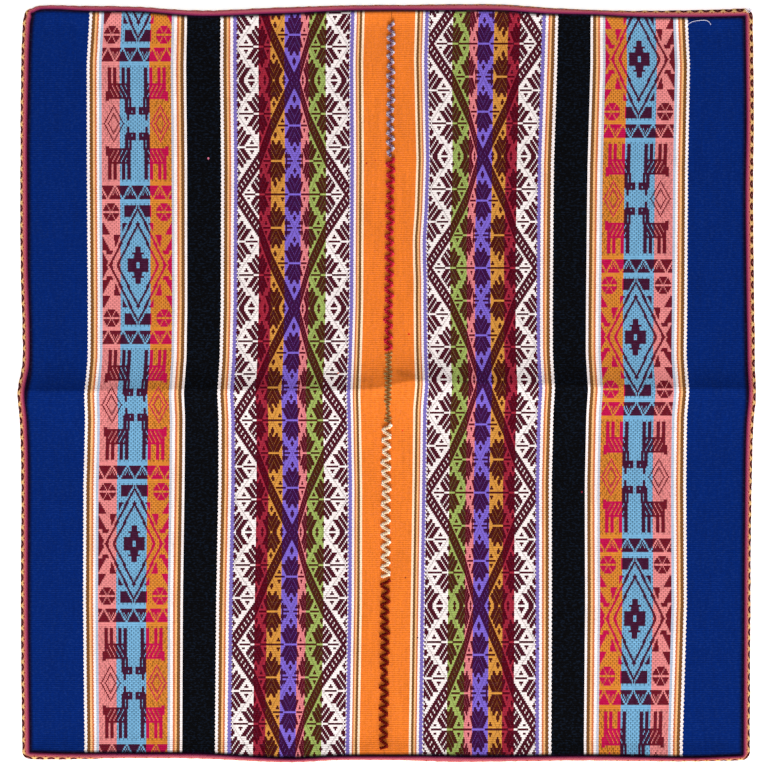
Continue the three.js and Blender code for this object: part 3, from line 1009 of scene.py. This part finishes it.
def panel_wool(name, reverse):
    """The warp-faced weave of a panel: stripes, figured bands, picks and warp yarns."""
    wool = Cloth(name)
    stripe, pick = wool.place("Stripe")
    warp, clear = wool.place("Warp")
    colour = figured_stripes(wool, stripe, pick, warp, reverse)
    if not reverse:
        colour = flecks_and_shade(wool, colour)

    # Light and dark of the yarns: by stretches of one yarn, by patches and by flecks
    row = wool.sum("FLOOR", pick)
    stretch = wool.sum("FLOOR", wool.sum("DIVIDE", row, 9))
    yarn = wool.chance(wool.point(wool.sum("FLOOR", warp), stretch, 1))
    patch = wool.cloud(wool.point(warp, pick), 0.05)
    fleck = wool.cloud(wool.point(wool.by(warp, 0.35), pick), 1.3, 3)
    shade = wool.line(yarn, 0.12, 0.545)
    shade = wool.sum("ADD", shade, wool.by(patch, 0.2))
    shade = wool.sum("ADD", shade, wool.by(fleck, 0.6))

    # Painted shade: darker in the furrows, between the yarns, in the groove beside the edging and
    # in the gaping join, where shade falls
    rib = wool.ridges(pick)
    thread = wool.ridges(warp)
    broken = wool.cloud(wool.point(wool.by(warp, 0.12), row), 1)
    furrow = wool.by(wool.sum("SUBTRACT", 1, rib), wool.ease(broken, 0.42, 0.62))
    to_join = wool.by(wool.sum("SUBTRACT", len(STRIPES), stripe), 42)
    join_gap_shadow = wool.ease(wool.cloud(wool.point(1, pick), 0.5), 0.42, 0.6, bottom=0.1)
    for darker in (
        wool.line(furrow, -0.17, 1.02), wool.line(thread, 0.05, 0.97),
        wool.ease(clear, 0.6, 4.6, bottom=0.09), wool.sum("ADD", to_join, join_gap_shadow, clamp=True),
    ):
        shade = wool.by(shade, darker)
    # Painted shade: the cloth turns dark and purplish in the groove next to the edging's lip
    colour = wool.blend(wool.ease(clear, 0.4, 2.4, bottom=0.6, top=0.0), colour, tint(GROOVE_SHADE))
    # Loose fuzz of the wool, with a painted sheen added on top of the colour
    fuzz_sheen = wool.cloud(wool.point(wool.by(warp, 0.3), pick, 9), 1.2, 3)
    fuzz_sheen = wool.ease(fuzz_sheen, 0.48, 0.68)
    fuzz_sheen = wool.vector_sum("MULTIPLY", wool.point(fuzz_sheen, fuzz_sheen, fuzz_sheen), FUZZ_SHEEN)
    colour = wool.vector_sum("ADD", wool.times(colour, shade), fuzz_sheen)

    height = wool.line(thread, 0.35, wool.by(rib, 0.75))
    wool.relief(wool.line(fleck, 0.8, height), 0.00018)
    return wool.finish(colour, 0.9, 0.02)


def edging_wool():
    """The tubular band: a row of eyes in a gold lattice on rose, with painted shade turning it deep
    violet next to the cloth.
    """
    wool = Cloth("woven_edging")
    eye, off = wool.place("Tube")
    to_lip, _ = wool.place("Lip")
    far = wool.sum("ABSOLUTE", off)
    run = wool.by(wool.sum("SUBTRACT", wool.sum("FRACT", eye), 0.5), EYE_PITCH)
    run = wool.sum("ABSOLUTE", run)

    def diamond(across, along_it, wide, long):
        """1 within a diamond with slightly bowed sides, given by half its width and length."""
        parts = [
            wool.sum("POWER", wool.sum("DIVIDE", value, size), 1.35)
            for value, size in ((across, wide), (along_it, long))
        ]
        return wool.sum("LESS_THAN", wool.sum("ADD", *parts), 1)

    # The first two colours are painted shade, where the tube turns in towards the cloth
    deep_shade, tube_shade, rose = (44, 8, 44), (142, 44, 84), (192, 92, 106)
    gold, tan, rust = (226, 180, 118), (198, 112, 92), (158, 66, 48)
    maroon, pupil = (66, 22, 16), (150, 84, 84)
    # Painted shade: darker towards the edging's lip, deepest in the groove beside the cloth
    colour = wool.blend(wool.ease(to_lip, 0.9, 2.6), tint(tube_shade), tint(rose))
    colour = wool.blend(wool.ease(to_lip, -0.2, 1.3), tint(deep_shade), colour)
    colour = wool.blend(wool.sum("LESS_THAN", far, 2.5), colour, tint(tan))
    beside = wool.sum("SUBTRACT", EYE_PITCH / 2, run)
    colour = wool.blend(diamond(far, beside, 2.7, 2.5), colour, tint(gold))
    colour = wool.blend(wool.sum("LESS_THAN", far, 1.1), colour, tint(gold))
    from_rust = wool.sum("ABSOLUTE", wool.sum("SUBTRACT", far, 2.1))
    colour = wool.blend(diamond(from_rust, beside, 0.7, 1), colour, tint(rust))
    colour = wool.blend(diamond(far, run, 1.75, 3.7), colour, tint(maroon))
    colour = wool.blend(diamond(far, run, 0.55, 1.1), colour, tint(pupil))
    fleck = wool.cloud(wool.point(wool.by(eye, 9), off), 1.1, 3)
    colour = wool.times(colour, wool.line(fleck, 0.4, 0.8))
    slant = wool.sum("ADD", wool.by(eye, 8), wool.by(far, 0.5))
    wool.relief(wool.line(fleck, 0.4, wool.ridges(slant)), 0.00035)
    return wool.finish(colour, 0.9, 0.02)


def yarn_wool(name, dark, light):
    """Twisted wool yarn: darker with painted shade in the twist and where it sinks into the join,
    with lighter fibres.
    """
    wool = Cloth(f"yarn_{name}")
    length, around = wool.place("Ply")
    turn = wool.sum("ADD", wool.by(length, 0.9), wool.by(around, 3))
    fibre = wool.ridges(turn)
    fleck = wool.cloud(wool.point(length, around), 2.2, 3)
    # Painted shade: the yarn lighter out on each lobe, darker where it crosses the join
    lobe, _ = wool.place("Lobe")
    lobe = wool.line(lobe, 0.9, -0.5)
    share = wool.line(fibre, fleck, lobe, clamp=True)
    mixed = wool.blend(share, tint(dark), tint(light))
    wool.relief(fibre, 0.0001)
    return wool.finish(mixed, 0.85, 0.04)


def fibre_wool():
    """Fine white wool with a cool cast."""
    wool = Cloth("loose_fibre")
    colour = wool.blend(wool.cloud(None, 900), tint((196, 200, 232)), tint((250, 244, 246)))
    return wool.finish(colour, 0.85, 0.04)


# Camera, light and floor

PHOTO_WIDE = 652.8
PHOTO_MIDDLE = (-2.125, -1.275)
CAMERA_HIGH = 2600
# Place in metres, size and power
KEY_LIGHT = ((0.5, -7.2, 3.5), 4, 930)
FILL_LIGHT = ((-0.8, -0.6, 2.6), 2.4, 9)
SKY_LIGHT = 0.45
FLOOR_GLOW = 0.55
FLOOR_BELOW = 0.1
FLOOR_HALF = 4


def camera_above():
    camera = bpy.data.cameras.new("camera")
    camera.lens = camera.sensor_width * CAMERA_HIGH / PHOTO_WIDE
    camera.clip_end = 20
    place = [size * MM for size in (*PHOTO_MIDDLE, CAMERA_HIGH)]
    scene.camera = put("camera", camera, place)


def soft_light(name, place, size, power):
    lamp = bpy.data.lights.new(name, "AREA")
    lamp.size = size
    lamp.energy = power
    stand = put(name, lamp, place)
    stand.rotation_euler = (-Vector(place)).to_track_quat("-Z", "Y").to_euler()


def pale_floor():
    bm = bmesh.new()
    bmesh.ops.create_grid(bm, x_segments=1, y_segments=1, size=FLOOR_HALF)
    bmesh.ops.translate(bm, verts=bm.verts[:], vec=(0, 0, -FLOOR_BELOW * MM))
    paint = Cloth("pale_floor")
    colour = paint.blend(paint.cloud(None, 3.0), (0.97, 0.97, 0.97), (0.98, 0.98, 0.98))
    paint.shader.inputs["Emission Color"].default_value = (1, 1, 1, 1)
    paint.shader.inputs["Emission Strength"].default_value = FLOOR_GLOW
    floor = solid_from(bm, "floor", [paint.finish(colour, 0.9, 0.0)])


def studio():
    scene.view_settings.view_transform = "Standard"
    world = bpy.data.worlds.new("studio")
    world.use_nodes = True
    sky = world.node_tree.nodes["Background"]
    sky.inputs["Color"].default_value = (1, 1, 1, 1)
    sky.inputs["Strength"].default_value = SKY_LIGHT
    scene.world = world
    soft_light("key", *KEY_LIGHT)
    soft_light("fill", *FILL_LIGHT)


camera_above()
pale_floor()
studio()

face = panel_wool("panel_face", reverse=False)
back = panel_wool("panel_back", reverse=True)
left = woven_panel("panel_left", -1, face, back)
right = woven_panel("panel_right", 1, face, back)
band = woven_edging(edging_wool())
loose = loose_yarn(fibre_wool())
stitches = [
    joining_yarn(name, yarn_wool(name, dark, light), *laid) for name, dark, light, *laid in YARNS
]
